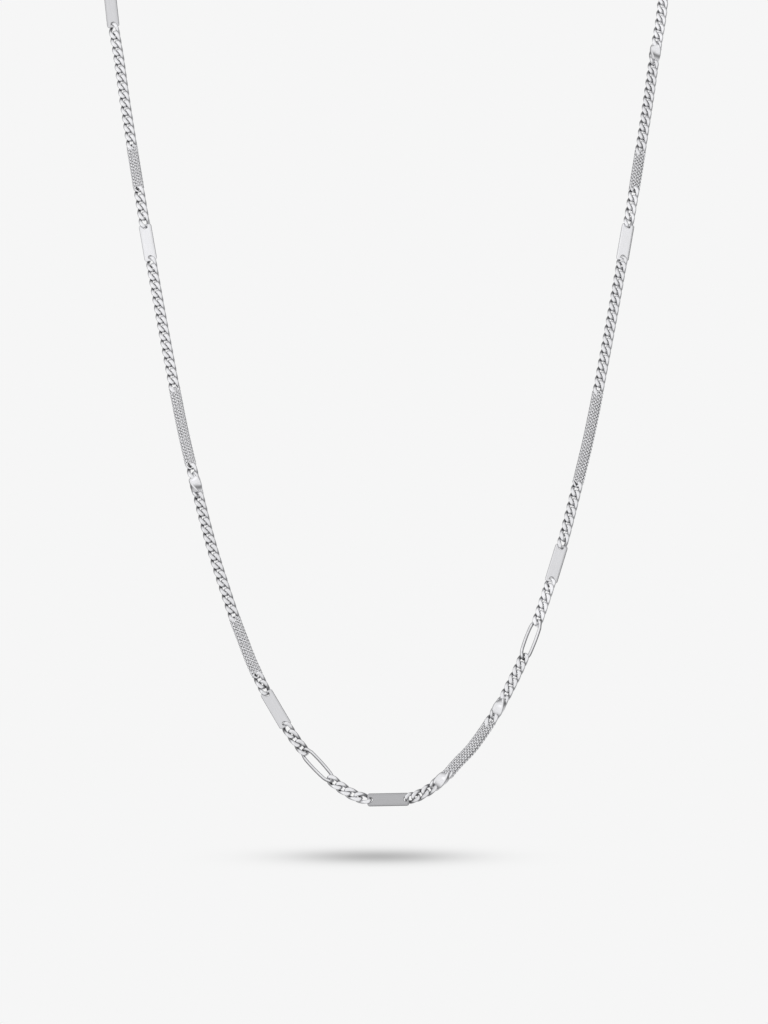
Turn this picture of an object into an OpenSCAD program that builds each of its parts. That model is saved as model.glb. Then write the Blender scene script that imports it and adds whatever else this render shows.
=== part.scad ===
/* [Curb links] */
// Thickness of the wire of a curb link
curb_wire = 0.68; // [0.5:0.01:0.7]
// Width of the curb chain over its links
curb_w = 2.52; // [2.4:0.02:2.8]
// How far a link reaches past the joint with the next one
curb_lap = 0.46; // [0.42:0.01:0.5]
// How far the sides of a link rise and fall, because it is twisted
curb_rise = 0.53; // [0.5:0.01:0.6]
// Thickness of the wire of the link that holds a bar
bar_link_wire = 0.6; // [0.5:0.01:0.6]
// How far that link's sides rise, over and under the end of the bar
bar_link_rise = 1.15; // [1.1:0.01:1.25]

/* [Bar panels] */
// Length of a bar
bar_len = 8.9; // [8:0.1:9]
// Width of a bar
bar_w = 2.8; // [2.6:0.1:3.2]
// Thickness of a bar
bar_t = 0.46; // [0.4:0.02:0.5]
// Width of the bevel along each long edge
bar_bevel = 0.43; // [0.2:0.01:0.5]
// Depth of that bevel
bar_bevel_t = 0.14; // [0.05:0.01:0.2]
// Bore of the hole at each end
bar_hole = 1.45; // [1.4:0.05:1.5]
// Metal left between a hole and the end of the bar
bar_web = 0.3; // [0.25:0.01:0.32]
// Width of the bar at its very ends, where its corners taper
bar_end_w = 1.9; // [1.6:0.1:2.2]
// Length of that taper
bar_taper = 0.5; // [0.3:0.1:0.8]

/* [Mesh panels] */
// Width of the woven band
mesh_w = 2.5; // [2.4:0.05:2.8]
// Thickness of the woven band
mesh_t = 1.45; // [1.2:0.05:1.6]

/* [Twist links] */
// Width of the twisted bar
twist_w = 2.5; // [2.2:0.05:2.6]
// Thickness of the twisted bar
twist_t = 1.3; // [1:0.05:1.4]
// How far the bar turns from its middle to each end, in degrees
twist_turn = 52; // [40:1:60]
// How far the sides of its end loops lean with it
twist_lean = 0.45; // [0.3:0.05:0.5]

/* [Long links] */
// How far the sides of a long link bow out
long_bow = 0.2; // [0:0.01:0.3]

/* [Clasp] */
// Length of the clasp
clasp_len = 11; // [10.5:0.1:12]
// Thickness of the clasp
clasp_t = 0.8; // [0.6:0.05:0.8]
// Diameter of the clasp's narrow end
clasp_eye_d = 2.8; // [2.6:0.1:3]
// Bore of the eye there
clasp_eye_hole = 1.45; // [1.3:0.05:1.5]
// Diameter of the clasp's wide end
clasp_hook_d = 4.8; // [4.6:0.1:5]
// Bore there, for the ring
clasp_hook_hole = 2.6; // [2.5:0.05:2.8]
// Outer diameter of the clasp's ring
ring_d = 4.4; // [4.3:0.05:4.8]
// Thickness of the ring's wire
ring_wire = 0.6; // [0.5:0.05:0.65]

/* [Hidden] */
steel = [0.80, 0.80, 0.81];
satin = [0.72, 0.72, 0.73];

// Half of the chain's route, from its lowest point up and back to the nape, where the
// origin is. Columns: x out to the side, y (negative in front of the nape), z, then
// the angles that the face of the chain leans back and turns out from straight ahead.
route = [
    [0, -104.1, -216, 12, 0],
    [4.2, -104, -215.5, 12, 0],
    [7.7, -103.8, -214.2, 12, 1],
    [11.9, -103.1, -211.3, 13, 1],
    [15.3, -102.2, -207.6, 13, 2],
    [18.9, -101.2, -203.75, 13, 2],
    [24.1, -99.1, -196.1, 14, 3],
    [28.6, -96.5, -187.5, 15, 4],
    [31.2, -94.5, -181.2, 15, 5],
    [33.8, -92, -174.3, 16, 5],
    [38.2, -86.6, -160.9, 18, 6],
    [42, -80.6, -146.7, 20, 7],
    [45, -75.2, -134.5, 21, 8],
    [48.4, -68.4, -117.9, 23, 8],
    [51.1, -62.6, -104.2, 23, 9],
    [54.7, -54.3, -84.8, 23, 10],
    [58.5, -45, -62.8, 23, 11],
    [60.3, -40, -51.2, 23, 12],
    [62.5, -34.3, -37.7, 23, 14],
    [62.6, -27.5, -20.5, 24, 36],
    [56, -15.5, -9, 30, 72],
    [41, -6, -3.5, 38, 128],
    [20, -1, -0.5, 44, 162],
    [0, 0, 0, 46, 180]];
route_steps = 10;

// Where the pieces lie, as distances in mm along the chain from its lowest point,
// negative on the left side. Each bar is placed by its middle.
bars = [-206.85, -147.85, -33.05, 0.35, 68.85, 147.95];
// The other pieces go from joint to joint.
meshes = [[-171.85, -161.1], [-111.4, -92.5], [-55.3, -41.5], [15.6, 29.2],
    [88, 110.7], [161, 170.2]];
twists = [[-90.3, -85.5], [10.8, 15.6], [31.2, 36], [193.1, 197.9]];
longs = [[-21.6, -13.4], [46.2, 54.4]];
// Runs of curb links. Columns: first joint, last joint, number of links between them,
// then the bars that one more link holds before the first joint and past the last one,
// or 0 where there is none.
runs = [
    [-215.6, -213.5, 1, 0, 1],
    [-200, -171.85, 13, 1, 0],
    [-161.1, -154.5, 3, 0, 2],
    [-141.3, -111.4, 14, 2, 0],
    [-92.5, -90.3, 1, 0, 0],
    [-85.5, -55.3, 14, 0, 0],
    [-41.5, -39.4, 1, 0, 3],
    [-26.3, -21.6, 2, 3, 0],
    [-13.4, -6.4, 3, 0, 4],
    [6.6, 10.8, 2, 4, 0],
    [29.2, 31.2, 1, 0, 0],
    [36, 46.2, 5, 0, 0],
    [54.4, 62.8, 4, 0, 5],
    [75.4, 88, 6, 5, 0],
    [110.7, 141.9, 15, 0, 6],
    [154.4, 161, 3, 6, 0],
    [170.2, 193.1, 11, 0, 0],
    [197.9, 212.95, 7, 0, 0]];

// Corners of a link and of its wire, and of the swept bands
link_sides = 10;
wire_sides = 5;
mesh_sides = 10;
mesh_step = 3;
twist_sides = 8;
twist_rings = 7;
back_sides = 8;
back_step = 7;
// How square a band's section is, from 1 for an oval down to 0 for a box
squareness = 0.6;

// Sizes worked out from the ones above
curb_r = curb_wire / 2;
curb_b = curb_w / 2 - curb_r;
// Length of the curb chain that one link takes up
pitch = 2.15;
// Gap between a link and the solid parts of the pieces that it joins
gap = 0.12;
free_end = curb_lap + curb_r + gap;
bar_link_r = bar_link_wire / 2;
bar_lap = bar_web + bar_link_r + 2 * gap;
// End loops of the mesh panels and twist links: a curb link's half, and a short tail
// that runs on into the solid part
loop_half = pitch / 2 + curb_lap;
loop_b = curb_b - 0.04;
loop_tail = 0.5;
back_t = 2 * (curb_rise + curb_r);
back_gap = 0.2;
ring_r = (ring_d - ring_wire) / 2;
// Gap between the clasp's ring and the wall of its bore
ring_gap = 0.2;

// Points and tables of the route
function unit(v) = v / norm(v);
// The row that mirrors row p on the other side of the lowest point or of the nape
function beyond(p, turn) = [-p[0], p[1], p[2], p[3], turn - p[4]];
last_row = len(route) - 1;
function row(i) = i < 0 ? beyond(route[1], 0)
    : i > last_row ? beyond(route[last_row - 1], 360) : route[i];
function smooth(a, b, c, d, t) = 0.5 * (2 * b + (c - a) * t
    + (2 * a - 5 * b + 4 * c - d) * t * t + (3 * b - a - 3 * c + d) * t * t * t);
path = [
    for (i = [0 : last_row - 1]) for (k = [0 : route_steps - 1])
        smooth(row(i - 1), row(i), row(i + 1), row(i + 2), k / route_steps),
    route[last_row]];
function spot_of(p) = [p[0], p[1], p[2]];
along = [
    for (i = 0, s = 0; i < len(path);
        s = s + (i + 1 < len(path) ? norm(spot_of(path[i + 1]) - spot_of(path[i])) : 0),
        i = i + 1) s];
half_len = along[len(along) - 1];
function column(c) = [for (i = [0 : len(path) - 1]) [along[i], path[i][c]]];
col_x = column(0);
col_y = column(1);
col_z = column(2);
col_lean = column(3);
col_turn = column(4);
function side(s) = s < 0 ? -1 : 1;
function spot(s) = [side(s) * lookup(abs(s), col_x), lookup(abs(s), col_y),
    lookup(abs(s), col_z)];
function face(s) = let (lean = lookup(abs(s), col_lean), turn = lookup(abs(s), col_turn))
    [side(s) * cos(lean) * sin(turn), -cos(lean) * cos(turn), sin(lean)];

// A piece's own frame: middle, along, left and out of its face
function frame_of(a, b, f) = let (u = unit(b - a), n = unit(f - (f * u) * u))
    [(a + b) / 2, u, cross(n, u), n];
function frame_at(s0, s1) = frame_of(spot(s0), spot(s1), face((s0 + s1) / 2));
function placed(fr, p) = fr[0] + p[0] * fr[1] + p[1] * fr[2] + p[2] * fr[3];
module put(fr) {
    multmatrix([
        [fr[1][0], fr[2][0], fr[3][0], fr[0][0]],
        [fr[1][1], fr[2][1], fr[3][1], fr[0][1]],
        [fr[1][2], fr[2][2], fr[3][2], fr[0][2]],
        [0, 0, 0, 1]]) children();
}

// A round wire along points: a ring of corners at each, joined to the next ring
function wire_ring(p, t, r) = let (o = unit(cross(t, [0, 0, 1])), w = cross(o, t))
    [for (k = [0 : wire_sides - 1])
        p + r * (cos(360 * k / wire_sides) * o + sin(360 * k / wire_sides) * w)];
function loop_points(c, r) = let (n = len(c))
    [for (i = [0 : n - 1])
        each wire_ring(c[i], unit(c[(i + 1) % n] - c[(i + n - 1) % n]), r)];
function open_points(c, r) = let (n = len(c))
    [for (i = [0 : n - 1])
        each wire_ring(c[i], unit(c[min(i + 1, n - 1)] - c[max(i - 1, 0)]), r)];
function band_faces(rings, m, closed) =
    [for (i = [0 : rings - (closed ? 1 : 2)]) for (k = [0 : m - 1])
        let (a = i * m, b = ((i + 1) % rings) * m, j = (k + 1) % m)
            each [[a + k, a + j, b + j], [a + k, b + j, b + k]]];
function cap_faces(rings, m) = [[for (k = [m - 1 : -1 : 0]) k],
    [for (k = [0 : m - 1]) (rings - 1) * m + k]];
function loop_mesh(c, r) = [loop_points(c, r), band_faces(len(c), wire_sides, true)];
function open_mesh(c, r) = [open_points(c, r),
    concat(band_faces(len(c), wire_sides, false), cap_faces(len(c), wire_sides))];
module meshes_solid(list) {
    starts = [for (i = 0, o = 0; i < len(list); o = o + len(list[i][0]), i = i + 1) o];
    polyhedron(points = [for (m = list) each m[0]],
        faces = [for (i = [0 : len(list) - 1]) for (f = list[i][1])
            [for (v = f) v + starts[i]]]);
}
function placed_mesh(fr, m) = [[for (p = m[0]) placed(fr, p)], m[1]];

// A curb link between two joints
function link_angle(i) = 360 * (i + 0.5) / link_sides;
function link_line(a) = [for (i = [0 : link_sides - 1]) let (q = link_angle(i))
    [a * cos(q), curb_b * sin(q), -curb_rise * sin(2 * q)]];
function curb_link(s0, s1) = placed_mesh(frame_at(s0, s1),
    loop_mesh(link_line(norm(spot(s1) - spot(s0)) / 2 + curb_lap), curb_r));
// The link between a joint at s and a bar. Its far half is a curb link's, and its near
// half goes through the bar's hole, over and under the bar's end.
bar_link_z = [-0.6 * bar_link_rise, -bar_link_rise, -0.2,
    -curb_rise * sin(2 * link_angle(3)), -curb_rise * sin(2 * link_angle(4))];
function bar_link_line(a, dir) = [for (i = [0 : link_sides - 1]) let (q = link_angle(i))
    [dir * a * cos(q), dir * curb_b * sin(q), i < 5 ? bar_link_z[i] : -bar_link_z[9 - i]]];
function bar_frame(i) = frame_at(bars[i - 1] - bar_len / 2, bars[i - 1] + bar_len / 2);
function bar_link(s, i) =
    let (dir = sign(bars[i - 1] - s), at = spot(s),
        hold = placed(bar_frame(i), [-dir * (bar_len / 2 - bar_lap), 0, 0]),
        fr = dir > 0 ? frame_of(at, hold, face(s)) : frame_of(hold, at, face(s)))
        placed_mesh([fr[0] - dir * curb_lap / 2 * fr[1], fr[1], fr[2], fr[3]],
            loop_mesh(bar_link_line((norm(hold - at) + curb_lap) / 2, dir), bar_link_r));
module curb_run(i) {
    r = runs[i - 1];
    step = (r[1] - r[0]) / r[2];
    color(steel) meshes_solid([
        for (k = [0 : r[2] - 1]) curb_link(r[0] + k * step, r[0] + (k + 1) * step),
        if (r[3] > 0) bar_link(r[0], r[3]),
        if (r[4] > 0) bar_link(r[1], r[4])]);
}

// Flat satin bar with bevelled long edges, tapered corners and a hole at each end
module bar_panel(i) {
    l = bar_len / 2;
    w = bar_w / 2;
    t = bar_t / 2;
    end_w = bar_end_w / 2;
    inset = bar_web + bar_hole / 2;
    color(satin) put(bar_frame(i)) difference() {
        intersection() {
            linear_extrude(height = bar_t + 2, center = true)
                polygon([[-l, -end_w], [bar_taper - l, -w], [l - bar_taper, -w], [l, -end_w],
                    [l, end_w], [l - bar_taper, w], [bar_taper - l, w], [-l, end_w]]);
            rotate([90, 0, 90]) linear_extrude(height = bar_len + 2, center = true)
                polygon([[-w, -t], [w, -t], [w, t - bar_bevel_t], [w - bar_bevel, t],
                    [-w + bar_bevel, t], [-w, t - bar_bevel_t]]);
        }
        for (e = [-1, 1]) translate([e * (l - inset), 0, 0])
            cylinder(h = bar_t + 2, d = bar_hole, center = true, $fn = 48);
    }
}

// Half of a curb link, which joins a mesh panel or twist link to the chain.
// dir is 1 where it points along the chain and -1 where it points back.
function end_line(dir, lean) =
    concat([[-loop_tail, -loop_b, dir * lean]],
        [for (q = [-90 : 36 : 90]) [loop_half * cos(q),
            (loop_b + (curb_b - loop_b) * cos(q)) * sin(q),
            -dir * (curb_rise * sin(2 * q) + lean * sin(q))]],
        [[-loop_tail, loop_b, -dir * lean]]);
function end_loop(fr, dir, lean) = let (line = end_line(dir, lean))
    placed_mesh(fr, open_mesh(dir > 0 ? line
        : [for (i = [len(line) - 1 : -1 : 0]) [-line[i][0], line[i][1], line[i][2]]],
        curb_r));

// Rounded section of a swept band, and the band through a list of frames
function section(w, t, m) = [for (k = [0 : m - 1])
    let (q = -360 * (k + 0.5) / m, c = cos(q), s = sin(q))
        [w / 2 * sign(c) * pow(abs(c), squareness), t / 2 * sign(s) * pow(abs(s), squareness)]];
function turned(p, a) = [p[0] * cos(a) - p[1] * sin(a), p[0] * sin(a) + p[1] * cos(a)];
function swept(frames, sec, turns) = let (m = len(sec), n = len(frames))
    [[for (i = [0 : n - 1]) for (p = sec) let (q = turned(p, turns[i]))
        placed(frames[i], [0, q[0], q[1]])],
        concat(band_faces(n, m, false), cap_faces(n, m))];

// Frame at one point of the route, square to it
function frame_here(s) = let (fr = frame_at(s - 0.8, s + 0.8)) [spot(s), fr[1], fr[2], fr[3]];

// Woven band with an end loop at each end
module mesh_panel(i) {
    s0 = meshes[i - 1][0];
    s1 = meshes[i - 1][1];
    from = s0 + free_end;
    to = s1 - free_end;
    n = ceil((to - from) / mesh_step);
    stops = [for (k = [0 : n]) from + (to - from) * k / n];
    color(steel) union() {
        meshes_solid([swept([for (s = stops) frame_here(s)],
            section(mesh_w, mesh_t, mesh_sides), [for (s = stops) 0])]);
        meshes_solid([end_loop(frame_at(s0, s0 + pitch), -1, 0)]);
        meshes_solid([end_loop(frame_at(s1 - pitch, s1), 1, 0)]);
    }
}

// Thick bar turned about its length, with an end loop at each end
module twist_link(i) {
    s0 = twists[i - 1][0];
    s1 = twists[i - 1][1];
    cell = norm(spot(s1) - spot(s0));
    l = cell / 2 - free_end;
    xs = [for (k = [0 : twist_rings - 1]) l * (2 * k / (twist_rings - 1) - 1)];
    function straight(x) = [[x, 0, 0], [1, 0, 0], [0, 1, 0], [0, 0, 1]];
    color(steel) put(frame_at(s0, s1)) union() {
        meshes_solid([swept([for (x = xs) straight(x)],
            section(twist_w, twist_t, twist_sides), [for (x = xs) -twist_turn * x / l])]);
        for (e = [-1, 1])
            meshes_solid([end_loop(straight(e * (cell - pitch) / 2), e, twist_lean)]);
    }
}

// Long open link with bowed sides, whose ends are like those of a curb link
module long_link(i) {
    s0 = longs[i - 1][0];
    s1 = longs[i - 1][1];
    reach = (norm(spot(s1) - spot(s0)) - pitch) / 2;
    side_rise = 0.7 * curb_rise;
    function round_end(dir) = [for (q = [-54 : 36 : 54]) [dir * (reach + loop_half * cos(q)),
        dir * curb_b * sin(q), -curb_rise * sin(2 * q)]];
    function long_side(dir) = [for (x = [reach, 0, -reach]) [dir * x,
        dir * (curb_b + long_bow * (1 - pow(x / (reach + 1), 2))), -side_rise * x / reach]];
    color(steel) put(frame_at(s0, s1)) meshes_solid([loop_mesh(
        concat(round_end(1), long_side(1), round_end(-1), long_side(-1)), curb_r)]);
}

// Plain tube for the chain behind the neck
module back_chain(from, to, sgn) {
    n = ceil((to - from) / back_step);
    stops = [for (k = [0 : n]) from + (to - from) * k / n];
    frames = [for (s = stops) frame_here(sgn * s)];
    color(steel) meshes_solid([swept(sgn > 0 ? frames : [for (k = [n : -1 : 0]) frames[k]],
        section(curb_w, back_t, back_sides), [for (s = stops) 0])]);
}

// The clasp lies across the nape, and its ring hangs in its right end
clasp_frame = frame_of(spot(clasp_len / 2 - half_len), spot(half_len - clasp_len / 2),
    face(half_len));
clasp_at = [[0, 0, 0], clasp_frame[1], clasp_frame[2], clasp_frame[3]];
eye_x = (clasp_eye_d - clasp_len) / 2;
hook_x = (clasp_len - clasp_hook_d) / 2;
ring_x = hook_x + clasp_hook_hole / 2 - ring_gap - ring_wire / 2 + ring_r;
ring_end = ring_x + ring_d / 2;
module clasp() {
    // The sides run straight from one round end to the other
    eye_side = 0.43 * clasp_eye_d;
    hook_side = 0.42 * clasp_hook_d;
    color(steel) put(clasp_at) difference() {
        linear_extrude(height = clasp_t, center = true) {
            translate([eye_x, 0]) circle(d = clasp_eye_d, $fn = 48);
            translate([hook_x, 0]) circle(d = clasp_hook_d, $fn = 64);
            polygon([[eye_x, -eye_side], [hook_x, -hook_side],
                [hook_x, hook_side], [eye_x, eye_side]]);
        }
        translate([eye_x, 0, 0])
            cylinder(h = clasp_t + 1, d = clasp_eye_hole, center = true, $fn = 48);
        translate([hook_x, 0, 0])
            cylinder(h = clasp_t + 1, d = clasp_hook_hole, center = true, $fn = 48);
    }
}
module clasp_ring() {
    color(steel) put(clasp_at) translate([ring_x, 0, 0]) rotate([90, 0, 0])
        rotate_extrude($fn = 64) translate([ring_r, 0]) circle(d = ring_wire, $fn = 32);
}

for (i = [1 : len(bars)])
    bar_panel(i);
for (i = [1 : len(meshes)])
    mesh_panel(i);
for (i = [1 : len(twists)])
    twist_link(i);
for (i = [1 : len(longs)])
    long_link(i);
for (i = [1 : len(runs)])
    curb_run(i);
back_chain(-runs[0][0] + curb_lap + curb_r + back_gap,  // back_chain_left
        half_len - clasp_len / 2 - back_gap, -1);
back_chain(runs[len(runs) - 1][1] + curb_lap + curb_r + back_gap,  // back_chain_right
        half_len - ring_end - back_gap, 1);
clasp();
clasp_ring();
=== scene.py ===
import math

import bmesh
import bpy
import numpy as np
from mathutils import Matrix, Vector


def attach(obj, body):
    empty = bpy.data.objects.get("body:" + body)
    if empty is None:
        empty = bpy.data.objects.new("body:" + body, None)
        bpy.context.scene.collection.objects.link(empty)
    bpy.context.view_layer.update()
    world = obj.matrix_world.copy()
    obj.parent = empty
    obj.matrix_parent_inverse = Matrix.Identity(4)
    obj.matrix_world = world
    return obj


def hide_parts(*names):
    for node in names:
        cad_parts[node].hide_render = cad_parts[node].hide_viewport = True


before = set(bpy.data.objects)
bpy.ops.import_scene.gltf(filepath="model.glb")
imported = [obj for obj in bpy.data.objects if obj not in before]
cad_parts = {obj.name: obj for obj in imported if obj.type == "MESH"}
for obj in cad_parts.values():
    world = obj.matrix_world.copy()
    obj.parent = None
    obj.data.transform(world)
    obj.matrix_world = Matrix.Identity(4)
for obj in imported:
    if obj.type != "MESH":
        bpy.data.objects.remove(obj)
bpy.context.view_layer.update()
mm = 0.001
print("frame loaded")

# Half of the chain's route, from its lowest point up and back to the nape: x, y, z in mm,
# then how far the chain's face leans back and turns out, in degrees
route = np.array([
    [0, -104.1, -216, 12, 0], [4.2, -104, -215.5, 12, 0], [7.7, -103.8, -214.2, 12, 1],
    [11.9, -103.1, -211.3, 13, 1], [15.3, -102.2, -207.6, 13, 2], [18.9, -101.2, -203.75, 13, 2],
    [24.1, -99.1, -196.1, 14, 3], [28.6, -96.5, -187.5, 15, 4], [31.2, -94.5, -181.2, 15, 5],
    [33.8, -92, -174.3, 16, 5], [38.2, -86.6, -160.9, 18, 6], [42, -80.6, -146.7, 20, 7],
    [45, -75.2, -134.5, 21, 8], [48.4, -68.4, -117.9, 23, 8], [51.1, -62.6, -104.2, 23, 9],
    [54.7, -54.3, -84.8, 23, 10], [58.5, -45, -62.8, 23, 11], [60.3, -40, -51.2, 23, 12],
    [62.5, -34.3, -37.7, 23, 14], [62.6, -27.5, -20.5, 24, 36], [56, -15.5, -9, 30, 72],
    [41, -6, -3.5, 38, 128], [20, -1, -0.5, 44, 162], [0, 0, 0, 46, 180]], float)
# Points of the curve from one row to the next, and how far each way a spot's own frame looks, in mm
routeSteps = 10
nearSpan = 0.8

# Where the pieces lie, in mm along the chain from its lowest point, negative on the left
bars = [-206.85, -147.85, -33.05, 0.35, 68.85, 147.95]
meshes = [[-171.85, -161.1], [-111.4, -92.5], [-55.3, -41.5], [15.6, 29.2], [88, 110.7], [161, 170.2]]
twists = [[-90.3, -85.5], [10.8, 15.6], [31.2, 36], [193.1, 197.9]]
longs = [[-21.6, -13.4], [46.2, 54.4]]
# Runs of curb links: first joint, last joint, links, bar before the first, bar past the last,
# with 0 where there is no bar
runs = [
    [-215.6, -213.5, 1, 0, 1], [-200, -171.85, 13, 1, 0], [-161.1, -154.5, 3, 0, 2],
    [-141.3, -111.4, 14, 2, 0], [-92.5, -90.3, 1, 0, 0], [-85.5, -55.3, 14, 0, 0],
    [-41.5, -39.4, 1, 0, 3], [-26.3, -21.6, 2, 3, 0], [-13.4, -6.4, 3, 0, 4],
    [6.6, 10.8, 2, 4, 0], [29.2, 31.2, 1, 0, 0], [36, 46.2, 5, 0, 0], [54.4, 62.8, 4, 0, 5],
    [75.4, 88, 6, 5, 0], [110.7, 141.9, 15, 0, 6], [154.4, 161, 3, 6, 0],
    [170.2, 193.1, 11, 0, 0], [197.9, 212.95, 7, 0, 0]]


def unit(v):
    return v / np.linalg.norm(v)


# The route as a smooth curve through its rows, in metres, and the length along it in mm
mirror = np.array([-1, 1, 1, 1, -1])
rows = np.vstack([route[1] * mirror, route, route[-2] * mirror + [0, 0, 0, 0, 360]])
path = []
for i in range(1, len(rows) - 2):
    a, b, c, d = rows[i - 1:i + 3]
    for k in range(routeSteps):
        t = k / routeSteps
        path.append(0.5 * (2 * b + (c - a) * t + (2 * a - 5 * b + 4 * c - d) * t * t
                           + (3 * b - a - 3 * c + d) * t ** 3))
path = np.array(path + [rows[-2]])
along = np.concatenate([[0], np.cumsum(np.linalg.norm(np.diff(path[:, :3], axis=0), axis=1))])
halfLength = along[-1]


def spot(s):
    x, y, z = (np.interp(abs(s), along, path[:, k]) for k in range(3))
    return np.array([math.copysign(x, s), y, z]) * mm


def facing(s):
    lean, turn = (math.radians(np.interp(abs(s), along, path[:, k])) for k in (3, 4))
    return np.array([math.copysign(math.cos(lean) * math.sin(turn), s * math.sin(turn)),
                     -math.cos(lean) * math.cos(turn), math.sin(lean)])


def frameOf(a, b, f):
    # Middle, along, left and out of the face, as in the source
    u = unit(b - a)
    n = unit(f - (f @ u) * u)
    return (a + b) / 2, u, np.cross(n, u), n


def frameAt(s0, s1):
    return frameOf(spot(s0), spot(s1), facing((s0 + s1) / 2))


def frameHere(s):
    return (spot(s), *frameAt(s - nearSpan, s + nearSpan)[1:])


def placed(fr, x, y, z):
    return fr[0] + (x * fr[1] + y * fr[2] + z * fr[3]) * mm


print("route", round(halfLength * 2), "mm round")


class Wire:
    # A socket that can be reckoned with; any other node comes from node()
    def __init__(self, tree, socket=None):
        self.tree, self.socket = tree, socket

    def node(self, kind, setup=None, sockets=None, out=0):
        made = self.tree.nodes.new(kind)
        for key, value in (setup or {}).items():
            if key == "stops":
                ramp = made.color_ramp
                while len(ramp.elements) < len(value):
                    ramp.elements.new(0.5)
                for element, (place, shade) in zip(ramp.elements, value):
                    element.position = place
                    element.color = (shade, shade, shade, 1)
            else:
                setattr(made, key, value)
        for key, value in (sockets or {}).items():
            if isinstance(value, Wire):
                self.tree.links.new(value.socket, made.inputs[key])
            else:
                made.inputs[key].default_value = value
        return Wire(self.tree, made.outputs[out]) if made.outputs else None

    def other(self, key):
        return Wire(self.tree, self.socket.node.outputs[key])

    def calc(self, operation, *values):
        return self.node("ShaderNodeMath", {"operation": operation}, dict(enumerate(values)))

    def vector(self, operation, *values, out=0):
        return self.node("ShaderNodeVectorMath", {"operation": operation}, dict(enumerate(values)), out)

    def scaled(self, share):
        return self.node("ShaderNodeVectorMath", {"operation": "SCALE"}, {0: self, "Scale": share})

    def joinXYZ(self, *values):
        return self.node("ShaderNodeCombineXYZ", None, dict(enumerate(values)))

    def splitXYZ(self):
        return self.node("ShaderNodeSeparateXYZ", None, {0: self})

    def __add__(self, value):
        return self.calc("ADD", self, value)

    def __sub__(self, value):
        return self.calc("SUBTRACT", self, value)

    def __rsub__(self, value):
        return self.calc("SUBTRACT", value, self)

    def __mul__(self, value):
        return self.calc("MULTIPLY", self, value)

    def __truediv__(self, value):
        return self.calc("DIVIDE", self, value)

    def __rtruediv__(self, value):
        return self.calc("DIVIDE", value, self)

    def __neg__(self):
        return self.calc("MULTIPLY", self, -1)

    __radd__ = __add__
    __rmul__ = __mul__


# Tones of the metal and its wear, roughness and scuffs, tiny dents in mm, and how much bluer than grey
silver = {"tone": 0.8, "lowTone": 0.72, "wear": 900.0, "wearShare": 1.6, "rough": 0.12, "scuff": 0.1,
          "fine": 9000.0, "dent": 0.25, "dentDepth": 0.02, "cool": 1.025}


def newMaterial(name):
    made = bpy.data.materials.new(name)
    made.use_nodes = True
    made.node_tree.nodes.clear()
    return made, Wire(made.node_tree)


def finishMaterial(wire, sockets):
    shader = wire.node("ShaderNodeBsdfPrincipled", None, sockets)
    wire.node("ShaderNodeOutputMaterial", None, {"Surface": shader})


def greyOf(wire, value, cool=1.0):
    return wire.node("ShaderNodeCombineColor", None, {0: value, 1: value, 2: value * cool})


def noise(wire, place, scale, detail):
    return wire.node("ShaderNodeTexNoise", None, {"Vector": place, "Scale": scale, "Detail": detail}, "Fac")


def dented(wire, sizes, height):
    return wire.node("ShaderNodeBump", None, {
        "Strength": sizes["dent"], "Distance": sizes["dentDepth"] * mm, "Height": height})


def polishedSilver(name, sizes):
    made, wire = newMaterial(name)
    place = wire.node("ShaderNodeTexCoord", None, None, "Object")
    wear = noise(wire, place, sizes["wear"], 3.0)
    fine = noise(wire, place, sizes["fine"], 2.0)
    # The pieces' tone attribute is painted shade, and painted light where it goes above 1
    share = wire.node("ShaderNodeAttribute", {"attribute_name": "tone"}, None, "Fac")
    tone = (sizes["lowTone"] + (sizes["tone"] - sizes["lowTone"]) * wear * sizes["wearShare"]) * share
    finishMaterial(wire, {"Base Color": greyOf(wire, tone, sizes["cool"]), "Metallic": 1.0,
                          "Roughness": sizes["rough"] + sizes["scuff"] * fine,
                          "Normal": dented(wire, sizes, fine)})
    return made


linkMetal = polishedSilver("polishedSilver", silver)
claspMetal = polishedSilver("claspSilver", {**silver, "rough": 0.08, "scuff": 0.06, "dent": 0.06})
print("silver made")


def startTree(name, inputs):
    tree = bpy.data.node_groups.new(name, "GeometryNodeTree")
    kinds = {bool: "NodeSocketBool", int: "NodeSocketInt", float: "NodeSocketFloat"}
    tree.interface.new_socket("Geometry", in_out="INPUT", socket_type="NodeSocketGeometry")
    for label, value in inputs.items():
        socket = tree.interface.new_socket(label, in_out="INPUT", socket_type=kinds[type(value)])
        socket.default_value = value
    tree.interface.new_socket("Material", in_out="INPUT", socket_type="NodeSocketMaterial")
    tree.interface.new_socket("Geometry", in_out="OUTPUT", socket_type="NodeSocketGeometry")
    start = Wire(tree).node("NodeGroupInput")
    return tree, start, {label: start.other(label) for label in [*inputs, "Material"]}


def stored(start, shape, name, value, kind="FLOAT"):
    return start.node("GeometryNodeStoreNamedAttribute", {"data_type": kind, "domain": "POINT"},
                      {"Geometry": shape, "Name": name, "Value": value})


def between(start, value, low, high, lowest):
    # From the lowest result up to 1 as the value goes from low to high
    return start.node("ShaderNodeMapRange", {"interpolation_type": "SMOOTHSTEP"},
                      {0: value, 1: low, 2: high, 3: lowest, 4: 1.0})


def endTree(start, shape, material):
    smooth = start.node("GeometryNodeSetShadeSmooth", None, {"Geometry": shape})
    real = start.node("GeometryNodeRealizeInstances", None, {"Geometry": smooth})
    dressed = start.node("GeometryNodeSetMaterial", None, {"Geometry": real, "Material": material})
    start.node("NodeGroupOutput", None, {"Geometry": dressed})


def attribute(start, name, kind="FLOAT_VECTOR"):
    return start.node("GeometryNodeInputNamedAttribute", {"data_type": kind}, {"Name": name})


def position(start):
    return start.node("GeometryNodeInputPosition")


def moved(start, shape, place):
    return start.node("GeometryNodeSetPosition", None, {"Geometry": shape, "Position": place})


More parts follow.
